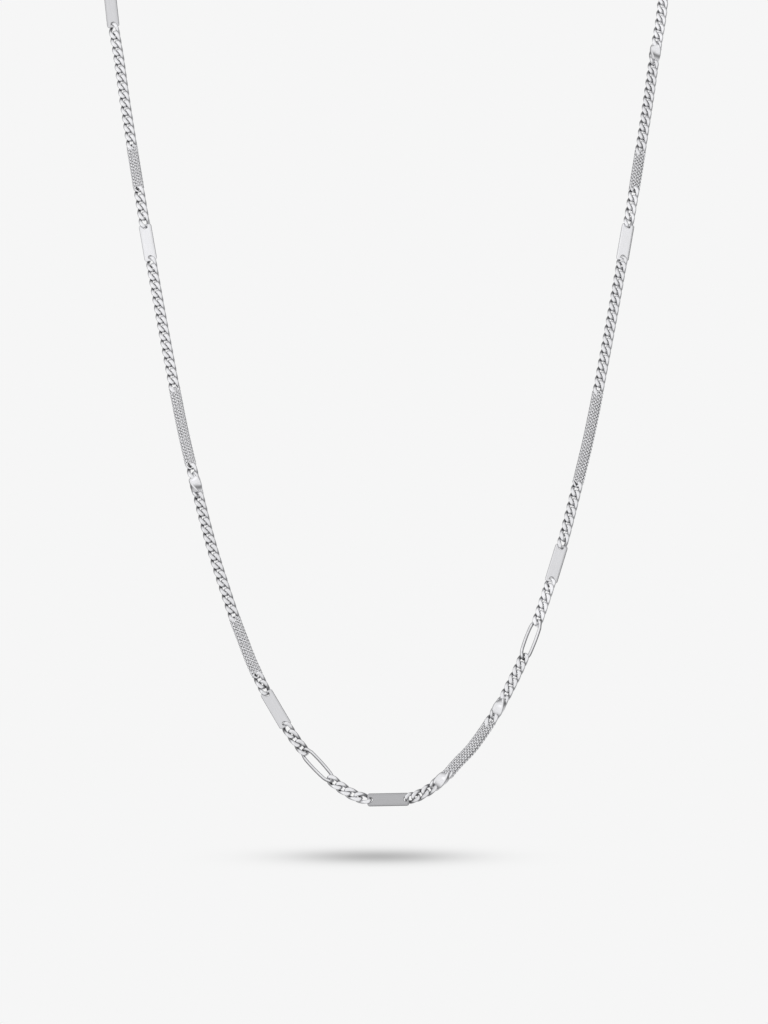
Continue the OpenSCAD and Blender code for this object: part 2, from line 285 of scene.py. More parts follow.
def circle(start, sides, radius):
    return start.node("GeometryNodeCurvePrimitiveCircle", None, {"Resolution": sides, "Radius": radius})


def roundedBox(start, width, height, corner, steps):
    box = start.node("GeometryNodeCurvePrimitiveQuadrilateral", None, {"Width": width, "Height": height})
    return start.node("GeometryNodeFilletCurve", {"mode": "POLY"}, {
        "Curve": box, "Count": steps, "Radius": corner, "Limit Radius": True})


def grown(name, tree, seed, sizes):
    # Runs the tree on a seed mesh and keeps the result as a plain mesh
    made = bpy.data.objects.new(name, seed)
    bpy.context.scene.collection.objects.link(made)
    modifier = made.modifiers.new("grow", "NODES")
    modifier.node_group = tree
    for item in tree.interface.items_tree:
        if item.in_out == "INPUT" and item.name in sizes:
            modifier[item.identifier] = sizes[item.name]
    graph = bpy.context.evaluated_depsgraph_get()
    result = bpy.data.meshes.new_from_object(made.evaluated_get(graph), depsgraph=graph)
    made.modifiers.remove(modifier)
    made.data = result
    for extra in ("lengthwise", "outward", "stretch", "centre"):
        if extra in result.attributes:
            result.attributes.remove(result.attributes[extra])
    return made


def seedMesh(points, edges=(), **attributes):
    made = bpy.data.meshes.new("seed")
    made.from_pydata([tuple(p) for p in points], [tuple(e) for e in edges], [])
    for name, values in attributes.items():
        values = np.array(values, float)
        kind = "FLOAT_VECTOR" if values.ndim == 2 else "FLOAT"
        layer = made.attributes.new(name, kind, "POINT")
        layer.data.foreach_set("vector" if values.ndim == 2 else "value", values.ravel())
    return made


link = {"sides": 24, "wireSides": 10, "width": 2.48, "wire": 0.84, "lap": 0.5, "pitch": 2.15,
        "rise": 0.75, "crest": 0.15, "farSpread": 3, "flat": 0.62, "flatten": 0.8,
        # The links' painted shade: its range in mm, its darkest share, and how much the sunk and outer sides
        # weigh
        "lowShade": 0.0, "highShade": 0.45, "shade": 0.28, "sunkShare": 0.8, "outerShare": 0.7,
        # Links that hold a bar
        "barWire": 0.8, "barRise": 0.8, "barLap": 0.56, "barReach": 0.28, "barLength": 8.9, "barShade": 0.5,
        # Some runs near the lowest bar are painted darker, with painted shade over more of each link, and
        # some whole runs are painted lighter or darker
        "lowRuns": (7, 8, 10), "lowRunShade": 0.38, "lowRunHighShade": 0.9,
        "runPaintedShading": {6: 0.92, 13: 1.13, 16: 1.1, 18: 1.13}}
usualHalf = link["pitch"] / 2 + link["lap"]


def linkTree():
    tree, start, size = startTree("curbLinks", {
        "Sides": 16, "Wire Sides": 6, "Half Length": 0.0015, "Width": 0.0025, "Wire": 0.0007,
        "Rise": 0.0005, "Far Rise": 0.0005, "Crest": 0.0, "Flat": 0.0006, "Flatten": 0.75,
        "Low Shade": 0.0002, "High Shade": 0.0006, "Shade": 0.3})
    q = (start.node("GeometryNodeInputIndex") + 0.5) * (math.tau / size["Sides"])
    c = q.calc("COSINE", q)
    far = q.calc("MINIMUM", q.calc("MAXIMUM", c * link["farSpread"], 0.0), 1.0)
    lift = size["Rise"] + (size["Far Rise"] - size["Rise"]) * far
    line = start.joinXYZ(
        size["Half Length"] * c, (size["Width"] - size["Wire"]) * 0.5 * q.calc("SINE", q),
        -(lift * q.calc("SINE", q * 2) * (1.0 + size["Crest"] * q.calc("COSINE", q * 2))))
    bent = moved(start, circle(start, size["Sides"], mm), line)
    bent = stored(start, bent, "centre", position(start), "FLOAT_VECTOR")
    section = circle(start, size["Wire Sides"], size["Wire"] * 0.5)
    shape = start.node("GeometryNodeCurveToMesh", None, {"Curve": bent, "Profile Curve": section})
    # The top and bottom are filed flat
    at = position(start).splitXYZ()
    z = at.other("Z")
    over = q.calc("MAXIMUM", q.calc("ABSOLUTE", z) - size["Flat"], 0.0)
    filed = z - q.calc("SIGN", z) * over * size["Flatten"]
    shape = moved(start, shape, start.joinXYZ(at, at.other("Y"), filed))
    # Painted shade where the wire faces the link's own hole or its middle plane, none on its crests and outer
    # side
    now, centre = position(start), attribute(start, "centre")
    height, bend = now.splitXYZ().other("Z"), centre.splitXYZ().other("Z")
    sunk = (height - bend) * bend / size["Rise"]
    away = start.vector("NORMALIZE", start.vector("MULTIPLY", centre, (1, 1, 0)))
    outer = start.vector("DOT_PRODUCT", start.vector("SUBTRACT", now, centre), away, out="Value")
    bright = q.calc("ABSOLUTE", height) + sunk * link["sunkShare"] + outer * link["outerShare"]
    shape = stored(start, shape, "tone",
                   between(start, bright, size["Low Shade"], size["High Shade"], size["Shade"]))
    turn = start.node("FunctionNodeAxesToRotation", {"primary_axis": "X", "secondary_axis": "Z"}, {
        "Primary Axis": attribute(start, "lengthwise"), "Secondary Axis": attribute(start, "outward")})
    stretch = start.joinXYZ(attribute(start, "stretch", "FLOAT"), 1.0, 1.0)
    links = start.node("GeometryNodeInstanceOnPoints", None,
                       {"Points": start, "Instance": shape, "Rotation": turn, "Scale": stretch})
    endTree(start, links, size["Material"])
    return tree


def linkCell(s0, s1, before=0.0, after=0.0):
    # Middle, along, out and half length of the link between two joints, reaching out further at an end
    fr = frameAt(s0, s1)
    half = np.linalg.norm(spot(s1) - spot(s0)) / 2 + (link["lap"] + (before + after) / 2) * mm
    return placed(fr, (after - before) / 2, 0, 0), fr[1], fr[3], half


def holderCell(s, hold, ahead):
    # The link between a joint and a hole: its far end lies in the hole
    at = spot(s)
    fr = frameOf(at, hold, facing(s)) if ahead > 0 else frameOf(hold, at, facing(s))
    half = (np.linalg.norm(hold - at) + link["lap"] * mm) / 2
    return fr[0] - ahead * link["lap"] / 2 * mm * fr[1], ahead * fr[1], fr[3], half


def barFrame(i):
    return frameAt(bars[i - 1] - link["barLength"] / 2, bars[i - 1] + link["barLength"] / 2)


def barCell(s, i):
    ahead = 1 if bars[i - 1] > s else -1
    inside = link["barLength"] / 2 - link["barLap"]
    return holderCell(s, placed(barFrame(i), -ahead * inside, 0, 0), ahead)


def linksFrom(name, tree, cells, sizes):
    places, directions, outs, halves = (np.array(x) for x in zip(*cells))
    seed = seedMesh(places, lengthwise=directions, outward=outs, stretch=halves / (usualHalf * mm))
    return grown(name, tree, seed, {
        "Sides": link["sides"], "Wire Sides": link["wireSides"], "Half Length": usualHalf * mm,
        "Width": link["width"] * mm, "Wire": link["wire"] * mm, "Rise": link["rise"] * mm,
        "Far Rise": link["rise"] * mm, "Crest": link["crest"],
        "Flat": link["flat"] * mm, "Flatten": link["flatten"],
        "Low Shade": link["lowShade"] * mm, "High Shade": link["highShade"] * mm, "Shade": link["shade"],
        "Material": linkMetal, **sizes})


def joined(name, pieces):
    # One mesh of several, with the first one's materials first
    if len(pieces) > 1:
        with bpy.context.temp_override(active_object=pieces[0], selected_editable_objects=pieces):
            bpy.ops.object.join()
    pieces[0].name = pieces[0].data.name = name
    return pieces[0]


def dimmed(piece, share):
    # Paints a whole piece lighter or darker by scaling its painted shade
    for item in piece.data.attributes["tone"].data:
        item.value *= share


def finished(piece, slot, *nodes):
    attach(piece, "root")
    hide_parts(*nodes)


curbTree = linkTree()
barLinkSizes = {"Wire": link["barWire"] * mm, "Far Rise": link["barRise"] * mm, "Shade": link["barShade"]}
lowRunSizes = {"Shade": link["lowRunShade"], "High Shade": link["lowRunHighShade"] * mm}
for i, (first, last, count, before, after) in enumerate(runs, 1):
    step = (last - first) / count
    cells = [linkCell(first + k * step, first + (k + 1) * step, link["barReach"] * bool(before and k == 0),
                      link["barReach"] * bool(after and k == count - 1)) for k in range(count)]
    holders = [barCell(s, bar) for s, bar in ((first, before), (last, after)) if bar]
    sizes = lowRunSizes if i in link["lowRuns"] else {}
    parts = [linksFrom(f"curbRun{i}", curbTree, cells, sizes)]
    if holders:
        parts.append(linksFrom("holders", curbTree, holders, {**barLinkSizes, **sizes}))
    run = joined(f"curbRun{i}", parts)
    # Some whole runs are painted lighter or darker
    dimmed(run, link["runPaintedShading"].get(i, 1))
    finished(run, "polished_link", f"curb_run_{i}")
print("curb runs made")


def sweepTree(name, isRound):
    # A round wire or a band along a line of points, the band square to their outward directions
    tree, start, size = startTree(name, {"Width": 0.0025, "Thickness": 0.0013, "Corner": 0.0005,
                                         "Corner Steps": 4, "Sides": 10, "Rings": 40, "Smooth": True})
    line = start.node("GeometryNodeMeshToCurve", None, {"Mesh": start})
    line = start.node("GeometryNodeCurveSplineType", {"spline_type": "CATMULL_ROM"},
                      {"Curve": line, "Selection": size["Smooth"]})
    line = start.node("GeometryNodeResampleCurve", None, {"Curve": line, "Count": size["Rings"]})
    if isRound:
        section = circle(start, size["Sides"], size["Width"] * 0.5)
    else:
        section = roundedBox(start, size["Thickness"], size["Width"], size["Corner"], size["Corner Steps"])
        line = start.node("GeometryNodeSetCurveNormal", {"mode": "FREE"},
                          {"Curve": line, "Normal": attribute(start, "outward")})
    swell = attribute(start, "swell", "FLOAT")
    shape = start.node("GeometryNodeCurveToMesh", None, {
        "Curve": line, "Profile Curve": section, "Scale": swell, "Fill Caps": True})
    endTree(start, stored(start, shape, "tone", 1.0), size["Material"])
    return tree


bandTree = sweepTree("sweptBand", False)
wireTree = sweepTree("roundWire", True)


def lineSeed(points, closed=False, **attributes):
    count = len(points)
    edges = [(k, (k + 1) % count) for k in range(count if closed else count - 1)]
    if "swell" not in attributes:
        attributes["swell"] = np.ones(count)
    return seedMesh(points, edges, **attributes)


def roundWire(name, points, sizes, closed, metal=linkMetal):
    return grown(name, wireTree, lineSeed(points, closed), {
        "Width": sizes["wire"] * mm, "Rings": sizes["rings"], "Sides": sizes["sides"], "Smooth": True,
        "Material": metal})


def flatBand(name, seed, sizes, rings, isSmooth, metal):
    return grown(name, bandTree, seed, {
        "Width": sizes["width"] * mm, "Thickness": sizes["thickness"] * mm, "Corner": sizes["corner"] * mm,
        "Corner Steps": sizes["cornerSteps"], "Rings": rings, "Smooth": isSmooth, "Material": metal})


loop = {"tail": 0.5, "wire": 0.7, "rise": 0.75, "turnStep": 18, "rings": 14, "sides": 8}
meshLoop = {**loop, "wire": 0.45, "rise": 0.3}


def endLoop(fr, ahead, sizes, lean=0):
    # Half a curb link, which joins a band or twisted link to the chain
    b = (link["width"] - sizes["wire"]) / 2
    rows = [(-sizes["tail"], -b, ahead * lean)]
    for q in range(-90, 91, sizes["turnStep"]):
        c, s = math.cos(math.radians(q)), math.sin(math.radians(q))
        z = -ahead * (sizes["rise"] * math.sin(math.radians(2 * q)) + lean * s)
        rows.append((usualHalf * c, b * s, z))
    rows.append((-sizes["tail"], b, -ahead * lean))
    return roundWire("loop", [placed(fr, ahead * x, y, z) for x, y, z in rows], sizes, False)


weave = {**silver, "tone": 0.98, "lowTone": 0.96, "rough": 0.2, "dent": 0.2, "cool": 1.02}
ring = {"pitch": 0.78, "rows": 14, "length": 0.8, "breadth": 0.62, "wire": 0.28, "sides": 10, "wireSides": 4,
        "lean": 24, "slant": 40, "oddSlant": -14, "smallest": 0.94, "largest": 1.04, "seed": 3,
        "width": 2.5, "thickness": 1.3, "corner": 0.5, "cornerSteps": 4, "sink": 0.16,
        "shade": 0.57, "shadeFrom": -0.4, "shadeTo": 0.3,
        "ends": [[-171.9, -161.4], [-111.9, -93.1], [-55.5, -41.7], [14.7, 30.0], [88.4, 110.9],
                 [160.8, 170.8]]}
# A dark band inside the rings that stands in for the shade seen through the gaps between them
core = {"inset": 0.35, "width": 1.75, "thickness": 0.7, "corner": 0.3, "cornerSteps": 3, "tone": 0.55,
        "grain": 2500.0, "lowShare": 0.6, "grainShare": 0.8, "metal": 0.6, "rough": 0.5, "scuff": 0.2}


def weaveTree():
    # Tiny oval rings in staggered rows round a band, lying aslant one way or the other by turns
    tree, start, size = startTree("ringWeave", {
        "Pitch": 0.0008, "Rows": 14, "Ring Length": 0.0011, "Ring Breadth": 0.0007, "Wire": 0.0002,
        "Sides": 10, "Wire Sides": 4, "Lean": 0.4, "Slant": 0.7, "Odd Slant": 0.7, "Width": 0.0025,
        "Thickness": 0.0013, "Corner": 0.0005, "Sink": 0.0001, "Shade": 0.5, "Seed": 3})
    line = start.node("GeometryNodeMeshToCurve", None, {"Mesh": start})
    length = start.node("GeometryNodeCurveLength", None, {"Curve": line})
    index = start.node("GeometryNodeInputIndex")
    row = index.calc("FLOORED_MODULO", index, size["Rows"])
    step = index.calc("FLOOR", (index + 0.01) / size["Rows"])
    odd = index.calc("FLOORED_MODULO", row, 2.0)
    count = length.calc("FLOOR", length / size["Pitch"])
    points = start.node("GeometryNodePoints", None, {"Count": count * size["Rows"]})
    # Every other row lies half a ring further on
    distance = (step + 0.25 + odd * 0.5) * (length / count)
    outward = start.node("GeometryNodeSampleCurve", {"mode": "LENGTH", "data_type": "FLOAT_VECTOR"},
                         {"Curves": line, "Value": attribute(start, "outward"), "Length": distance})
    tangent = outward.other("Tangent")
    left = start.vector("CROSS_PRODUCT", outward, tangent)
    inset = size["Sink"] * 2
    section = roundedBox(start, size["Width"] - inset, size["Thickness"] - inset, size["Corner"],
                         ring["cornerSteps"])
    rim = start.node("GeometryNodeSampleCurve", {"mode": "FACTOR"},
                     {"Curves": section, "Factor": (row + 0.5) / size["Rows"]}, "Position")
    spread, swing = rim.splitXYZ(), rim.other("Tangent").splitXYZ()

    def mixed(x, y):
        return start.vector("ADD", left.scaled(x), outward.scaled(y))

    place = start.vector("ADD", outward.other("Position"), mixed(spread, spread.other("Y")))
    turn = start.node("FunctionNodeAxesToRotation", {"primary_axis": "Z", "secondary_axis": "X"},
                      {"Primary Axis": mixed(swing.other("Y"), -swing), "Secondary Axis": tangent})
    slant = size["Slant"] - odd * (size["Slant"] - size["Odd Slant"])
    for axis, angle in (((0, 0, 1), slant), ((1, 0, 0), size["Lean"])):
        part = start.node("FunctionNodeAxisAngleToRotation", None, {"Axis": axis, "Angle": angle})
        turn = start.node("FunctionNodeRotateRotation", {"rotation_space": "LOCAL"},
                          {"Rotation": turn, "Rotate By": part})
    at = position(start).splitXYZ()
    oval = start.joinXYZ(at * (size["Ring Length"] - size["Wire"]),
                         at.other("Y") * (size["Ring Breadth"] - size["Wire"]))
    tiny = start.node("GeometryNodeCurveToMesh", None, {
        "Curve": moved(start, circle(start, size["Sides"], 0.5), oval),
        "Profile Curve": circle(start, size["Wire Sides"], size["Wire"] * 0.5)})
    # Painted shade along one side of each ring
    side = position(start).splitXYZ().other("Y") / size["Ring Breadth"]
    bright = between(start, side, ring["shadeFrom"], ring["shadeTo"], size["Shade"])
    tiny = stored(start, tiny, "tone", bright)
    random = start.node("FunctionNodeRandomValue", None, {
        2: ring["smallest"], 3: ring["largest"], "ID": index, "Seed": size["Seed"]}, 1)
    rings = start.node("GeometryNodeInstanceOnPoints", None, {
        "Points": moved(start, points, place), "Instance": tiny, "Rotation": turn, "Scale": random})
    endTree(start, rings, size["Material"])
    return tree


def darkCore(name, sizes):
    # Painted shade: a dark, dull sheet for the inside of the weave
    made, wire = newMaterial(name)
    grain = noise(wire, wire.node("ShaderNodeTexCoord", None, None, "Object"), sizes["grain"], 2.0)
    tone = sizes["tone"] * (sizes["lowShare"] + grain * sizes["grainShare"])
    finishMaterial(wire, {"Base Color": greyOf(wire, tone), "Metallic": sizes["metal"],
                          "Roughness": sizes["rough"] + sizes["scuff"] * grain})
    return made


def bandSeed(begin, end, count):
    frames = [frameHere(s) for s in np.linspace(begin, end, count)]
    return lineSeed([fr[0] for fr in frames], outward=[fr[3] for fr in frames])


ringTree = weaveTree()
weaveMetal = polishedSilver("wovenSilver", weave)
coreShade = darkCore("weaveShade", core)
ringSizes = {
    "Pitch": ring["pitch"] * mm, "Rows": ring["rows"], "Ring Length": ring["length"] * mm,
    "Ring Breadth": ring["breadth"] * mm, "Wire": ring["wire"] * mm, "Sides": ring["sides"],
    "Wire Sides": ring["wireSides"], "Lean": math.radians(ring["lean"]),
    "Slant": math.radians(ring["slant"]), "Odd Slant": math.radians(ring["oddSlant"]),
    "Width": ring["width"] * mm, "Thickness": ring["thickness"] * mm, "Corner": ring["corner"] * mm,
    "Sink": ring["sink"] * mm, "Shade": ring["shade"], "Seed": ring["seed"], "Material": weaveMetal}
for i, (s0, s1) in enumerate(meshes, 1):
    begin, end = ring["ends"][i - 1]
    count = 2 + int(end - begin)
    rings = grown(f"meshPanel{i}", ringTree, bandSeed(begin, end, count), ringSizes)
    # The dark band of painted shade inside the rings
    dark = flatBand("core", bandSeed(begin + core["inset"], end - core["inset"], count), core, count, False,
                    coreShade)
    loops = [endLoop(frameAt(s0, s0 + link["pitch"]), -1, meshLoop),
             endLoop(frameAt(s1 - link["pitch"], s1), 1, meshLoop)]
    finished(joined(f"meshPanel{i}", [rings, dark, *loops]), "woven_band", f"mesh_{i}")
print("mesh panels made")


twist = {"width": 2.5, "thickness": 1.5, "corner": 0.38, "cornerSteps": 4, "room": 0.5, "rings": 28,
         "starts": [-24, -12, -22, 8], "turn": 52, "steps": 6, "taper": 0.12, "taperPower": 6, "lean": 0.4,
         "sideShade": 0.66, "faceShare": 1.5, "faceFrom": 0.1}

for i, (s0, s1) in enumerate(twists, 1):
    fr = frameAt(s0, s1)
    cell = np.linalg.norm(spot(s1) - spot(s0)) / mm
    reach = cell / 2 - twist["room"]
    points, outs, swell = [], [], []
    for k in range(2 * twist["steps"] + 1):
        x = reach * (k / twist["steps"] - 1)
        turn = math.radians(twist["starts"][i - 1] - twist["turn"] * x / reach)
        points.append(placed(fr, x, 0, 0))
        outs.append(math.cos(turn) * fr[3] - math.sin(turn) * fr[2])
        swell.append(1 - twist["taper"] * abs(x / reach) ** twist["taperPower"])
    body = flatBand(f"twistLink{i}", lineSeed(points, outward=outs, swell=swell), twist, twist["rings"], True,
                    linkMetal)
    # Painted shade: the narrow sides are a little darker than the two broad faces
    places = (np.array([v.co for v in body.data.vertices]) - fr[0]) @ fr[1] / mm
    turns = np.radians(twist["starts"][i - 1] - twist["turn"] * places / reach)[:, None]
    faces = np.cos(turns) * fr[3] - np.sin(turns) * fr[2]
    broad = np.abs((np.array([v.normal for v in body.data.vertices]) * faces).sum(axis=1))
    shares = np.clip(broad * twist["faceShare"] - twist["faceFrom"], 0, 1)
    shades = twist["sideShade"] + (1 - twist["sideShade"]) * shares
    body.data.attributes["tone"].data.foreach_set("value", shades)
    loops = [endLoop((placed(fr, e * (cell - link["pitch"]) / 2, 0, 0), *fr[1:]), e, loop, twist["lean"])
             for e in (-1, 1)]
    finished(joined(f"twistLink{i}", [body, *loops]), "polished_link", f"twist_link_{i}")


longLink = {"wire": 0.74, "bow": 0.2, "bowRoom": 1, "limbRise": 0.7, "limbPoints": 7, "turnTo": 72,
            "turnStep": 18, "rings": 48, "sides": 12, "flank": 0.24, "faceShare": 1.4,
            "lowSide": 0.7, "lowFrom": 0.4, "lowShare": 2, "lowLimb": 0.6}

for i, (s0, s1) in enumerate(longs, 1):
    fr = frameAt(s0, s1)
    reach = (np.linalg.norm(spot(s1) - spot(s0)) / mm - link["pitch"]) / 2
    b = (link["width"] - longLink["wire"]) / 2
    rows = []
    for e in (1, -1):
        for q in range(-longLink["turnTo"], longLink["turnTo"] + 1, longLink["turnStep"]):
            c, s = math.cos(math.radians(q)), math.sin(math.radians(q))
            z = -link["rise"] * math.sin(math.radians(2 * q))
            rows.append((e * (reach + usualHalf * c), e * b * s, z))
        for x in np.linspace(reach, -reach, longLink["limbPoints"]):
            bow = longLink["bow"] * (1 - (x / (reach + longLink["bowRoom"])) ** 2)
            rows.append((e * x, e * (b + bow), -longLink["limbRise"] * link["rise"] * x / reach))
    body = roundWire(f"longLink{i}", [placed(fr, *row) for row in rows], longLink, True)
    # Painted shade where the wire turns sideways, most on its lower side
    normals = np.array([v.normal for v in body.data.vertices])
    side = normals @ fr[2]
    below = (np.array([v.co for v in body.data.vertices]) - fr[0]) @ fr[2] < 0
    low = longLink["lowSide"] * np.clip(longLink["lowFrom"] - longLink["lowShare"] * side, 0, 1)
    high = longLink["lowLimb"] * below * np.clip(side, 0, 1)
    shares = np.clip(np.abs(normals @ fr[3]) * longLink["faceShare"] - low + high, 0, 1)
    shades = longLink["flank"] + (1 - longLink["flank"]) * shares
    body.data.attributes["tone"].data.foreach_set("value", shades)
    finished(body, "polished_link", f"long_link_{i}")
print("twisted and long links made")


satin = {"tone": 0.86, "streak": 0.16, "length": 600, "grain": 26000, "longer": 3, "wider": 6,
         "rough": 0.3, "scuff": 0.12, "dent": 0.5, "dentDepth": 0.012, "cool": 1.025}
# Plates with a narrow bevel, painted bright, and a small hole at each end. Levels of the plate from its
# face to its back: how far in, how deep, how bright it is painted there, with painted shade on the dark
# levels and a painted highlight on the bevel. The painted shade fades out near the plate's ends
bar = {"length": 9.0, "width": 2.8, "thickness": 0.46, "corner": 0.5, "cornerSteps": 5, "sharpFrom": 28,
       "levels": [(0.44, 0, 1), (0.38, 0.005, 0.86), (0.32, 0.03, 1.03), (0.16, 0.08, 1.03),
                  (0.1, 0.11, 0.6), (0, 0.18, 0.45), (0, 0.4, 0.5), (0.06, 0.46, 0.9), (0.12, 0.46, 1)],
       "endShade": 0.92, "endRoom": 0.25, "endFade": 0.3, "hole": 0.9, "holeAt": 0.72, "holeSides": 20,
       "holeFlare": 0.1, "paintedShades": [0.72, 0.94, 0.77, 0.525, 0.83, 0.96], "brushingShift": 0.013}


def satinSilver(name, sizes):
    # Brushed along the bar: the map's x runs along it, in metres
    made, wire = newMaterial(name)
    place = wire.node("ShaderNodeUVMap", {"uv_map": "brushing"})

    def streaks(length, grain, detail):
        at = wire.node("ShaderNodeMapping", None, {"Vector": place, "Scale": (length, grain, 1)})
        return noise(wire, at, 1.0, detail)

    lines = streaks(sizes["length"], sizes["grain"], 3.0)
    bands = streaks(sizes["length"] / sizes["longer"], sizes["grain"] / sizes["wider"], 2.0)
    # The bars' tone attribute is painted shade, with a painted highlight where it goes above 1
    share = wire.node("ShaderNodeAttribute", {"attribute_name": "tone"}, None, "Fac")
    tone = (sizes["tone"] + sizes["streak"] * (lines + bands - 1)) * share
    finishMaterial(wire, {"Base Color": greyOf(wire, tone, sizes["cool"]), "Metallic": 1.0,
                          "Roughness": sizes["rough"] + sizes["scuff"] * bands,
                          "Normal": dented(wire, sizes, lines)})
    return made


def outline(inset):
    # The plate's outline with its rounded corners, drawn in by the inset
    points = []
    for k, (sx, sy) in enumerate(((1, 1), (-1, 1), (-1, -1), (1, -1))):
        for step in range(bar["cornerSteps"] + 1):
            q = math.radians(90 * (k + step / bar["cornerSteps"]))
            points.append((sx * (bar["length"] / 2 - bar["corner"]) + (bar["corner"] - inset) * math.cos(q),
                           sy * (bar["width"] / 2 - bar["corner"]) + (bar["corner"] - inset) * math.sin(q)))
    return points


def bore(side, inset):
    middle, radius = side * (bar["length"] / 2 - bar["holeAt"]), bar["hole"] / 2 + inset
    turns = np.linspace(0, math.tau, bar["holeSides"], endpoint=False)
    return [(middle + radius * math.cos(q), radius * math.sin(q)) for q in turns]


def shadeAt(x, shade):
    # The painted shade on the darker levels fades out towards the plate's ends
    inward = min(max((bar["length"] / 2 - bar["endRoom"] - abs(x)) / bar["endFade"], 0), 1)
    return max(shade, bar["endShade"] + (shade - bar["endShade"]) * inward)


def plateMesh(name, fr):
    work = bmesh.new()
    shades = work.verts.layers.float.new("tone")
    loops = []
    for inset, depth, shade in bar["levels"]:
        flare = min(inset, bar["holeFlare"])
        rings = [outline(inset), bore(1, flare), bore(-1, flare)]
        z = bar["thickness"] / 2 - depth
        loops.append([[work.verts.new(placed(fr, x, y, z)) for x, y in points] for points in rings])
        for points, flat in zip(loops[-1], rings):
            for point, (x, y) in zip(points, flat):
                point[shades] = shadeAt(x, shade)
    for upper, lower in zip(loops, loops[1:]):
        for high, low in zip(upper, lower):
            for k in range(len(high)):
                j = (k + 1) % len(high)
                work.faces.new((high[j], high[k], low[k], low[j]))
    for rings in (loops[0], loops[-1]):
        rims = [work.edges.get((points[k - 1], points[k])) for points in rings for k in range(len(points))]
        bmesh.ops.triangle_fill(work, use_beauty=True, use_dissolve=False, edges=rims)
    bmesh.ops.recalc_face_normals(work, faces=work.faces)
    made = bpy.data.meshes.new(name)
    work.to_mesh(made)
    work.free()
    made.materials.append(barMetal)
    made.shade_smooth()
    made.set_sharp_from_angle(angle=math.radians(bar["sharpFrom"]))
    return made


barMetal = satinSilver("satinSilver", satin)
for i in range(1, len(bars) + 1):
    fr = barFrame(i)
    plate = bpy.data.objects.new(f"barPanel{i}", plateMesh(f"barPanel{i}", fr))
    bpy.context.scene.collection.objects.link(plate)
    corners = np.array([plate.data.vertices[c.vertex_index].co for c in plate.data.loops]) - fr[0]
    shift = bar["brushingShift"] * i
    brushing = np.column_stack([corners @ fr[1] + shift, corners @ fr[2] + shift])
    plate.data.uv_layers.new(name="brushing").data.foreach_set("uv", brushing.ravel())
    # Each whole bar is painted darker by its own share: painted shade
    dimmed(plate, bar["paintedShades"][i - 1])
    finished(plate, "satin_bar", f"bar_{i}")
print("bars made")


# The clasp's eye is where the last link on the left holds on, its hook's hole where the ring hangs
clasp = {"length": 11, "hook": 3.1, "holeHook": 2.6, "rim": 0.2, "eye": 1.05, "eyeJoint": 0.9,
         "round": 0.18, "roundSteps": 3, "flatTo": 1, "roundFrom": 18}
hoop = {"across": 4.4, "wire": 0.6, "joint": 0.45, "points": 24, "rings": 48, "sides": 12}
nape = frameOf(spot(clasp["length"] / 2 - halfLength), spot(halfLength - clasp["length"] / 2),
               facing(halfLength))
nape = (np.zeros(3), *nape[1:])
hoopRadius = (hoop["across"] - hoop["wire"]) / 2
hoopPlace = clasp["hook"] + clasp["holeHook"] / 2 - clasp["rim"] - hoop["wire"] / 2 + hoopRadius


def backCells(start, end, side):
    count = round((end - start) / link["pitch"])
    stops = [side * s for s in np.linspace(start, end, count + 1)]
    return [linkCell(*sorted((a, b))) for a, b in zip(stops, stops[1:])]


def roundedClasp(name, metal):
    # The source's clasp with its edges rounded
    piece = bpy.data.objects.new(name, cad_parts["clasp"].data.copy())
    bpy.context.scene.collection.objects.link(piece)
    work = bmesh.new()
    work.from_mesh(piece.data)
    bmesh.ops.remove_doubles(work, verts=work.verts, dist=1e-6)
    bmesh.ops.dissolve_limit(work, angle_limit=math.radians(clasp["flatTo"]), verts=work.verts,
                             edges=work.edges)
    work.to_mesh(piece.data)
    work.free()
    piece.data.materials.clear()
    piece.data.materials.append(metal)
    bevel = piece.modifiers.new("edges", "BEVEL")
    bevel.width, bevel.segments, bevel.limit_method = clasp["round"] * mm, clasp["roundSteps"], "ANGLE"
    bevel.angle_limit = math.radians(clasp["roundFrom"])
    bevel.harden_normals = True
    piece.data.shade_smooth()
    graph = bpy.context.evaluated_depsgraph_get()
    piece.data = bpy.data.meshes.new_from_object(piece.evaluated_get(graph), depsgraph=graph)
    piece.modifiers.remove(bevel)
    tone = piece.data.attributes.new("tone", "FLOAT", "POINT")
    tone.data.foreach_set("value", [1.0] * len(piece.data.vertices))
    return piece


lastLeft = halfLength - clasp["length"] / 2 - clasp["eyeJoint"]
leftLinks = linksFrom("backChainLeft", curbTree, backCells(-runs[0][0], lastLeft, -1), {})
eyeCell = holderCell(-lastLeft, placed(nape, clasp["eye"] - clasp["length"] / 2, 0, 0), -1)
leftHolder = linksFrom("holders", curbTree, [eyeCell], barLinkSizes)
finished(joined("backChainLeft", [leftLinks, leftHolder]), "polished_link", "back_chain_left")
lastRight = halfLength - (hoopPlace + hoopRadius - hoop["wire"] / 2 - hoop["joint"]) - link["lap"]
rightLinks = linksFrom("backChainRight", curbTree, backCells(runs[-1][1], lastRight, 1), {})
finished(joined("backChainRight", [rightLinks]), "polished_link", "back_chain_right")
finished(roundedClasp("claspBody", claspMetal), "clasp_metal", "clasp")
hoopLine = [placed(nape, hoopPlace + hoopRadius * math.cos(q), 0, hoopRadius * math.sin(q))
            for q in np.linspace(0, math.tau, hoop["points"], endpoint=False)]
finished(roundWire("claspRing", hoopLine, hoop, True, claspMetal), "clasp_metal", "clasp_ring")
print("back of the chain made")


